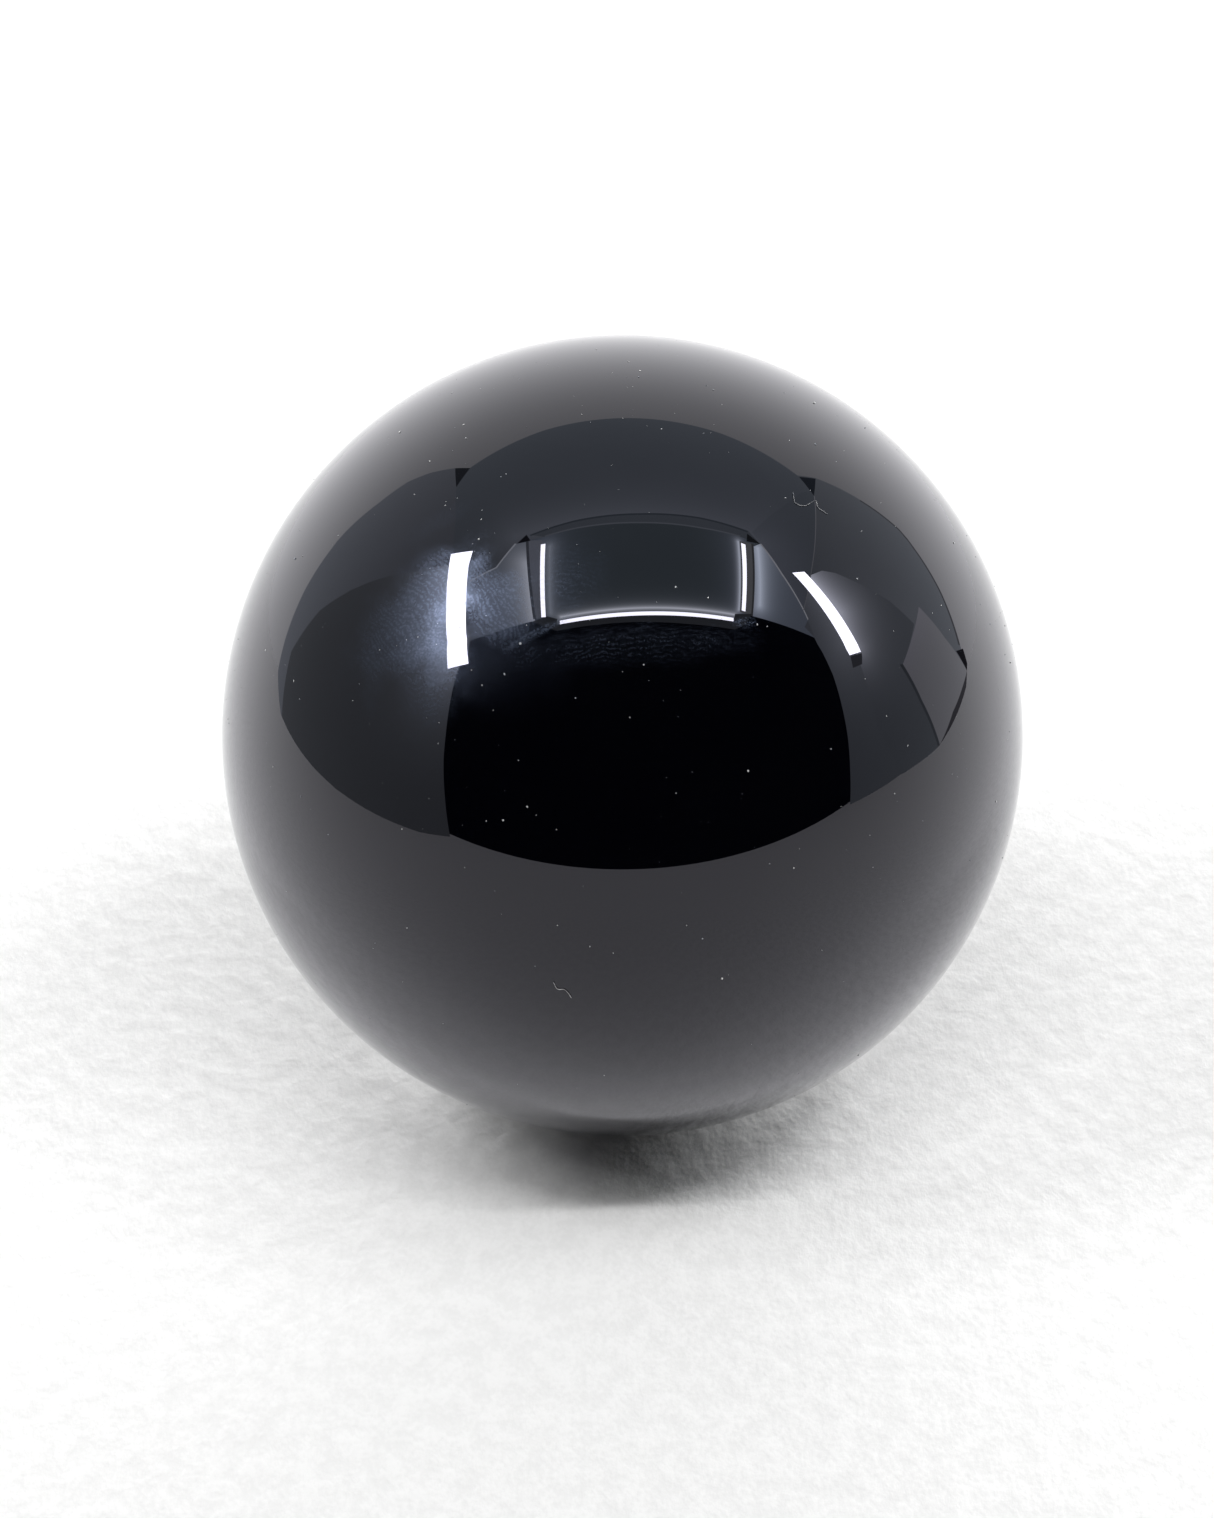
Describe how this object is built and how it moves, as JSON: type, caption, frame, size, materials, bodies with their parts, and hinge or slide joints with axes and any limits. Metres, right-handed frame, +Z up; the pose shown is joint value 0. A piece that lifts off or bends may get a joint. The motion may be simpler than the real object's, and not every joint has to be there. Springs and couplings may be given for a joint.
{
  "type": "obsidian sphere",
  "caption": "Polished solid ball of black obsidian, standing by itself on a very small ground flat.",
  "frame": {"origin": "the middle of the small resting flat, on the surface that the ball stands on, straight under the ball's centre", "axes": "+Z straight up through the ball's centre, -Y towards the viewer of the picture, +X to the viewer's right"},
  "size_m": [0.06, 0.06, 0.0598],
  "materials": {
    "obsidian": "polished"
  },
  "bodies": {
    "root": {"obsidian_sphere": "obsidian"}
  },
  "joints": []
}
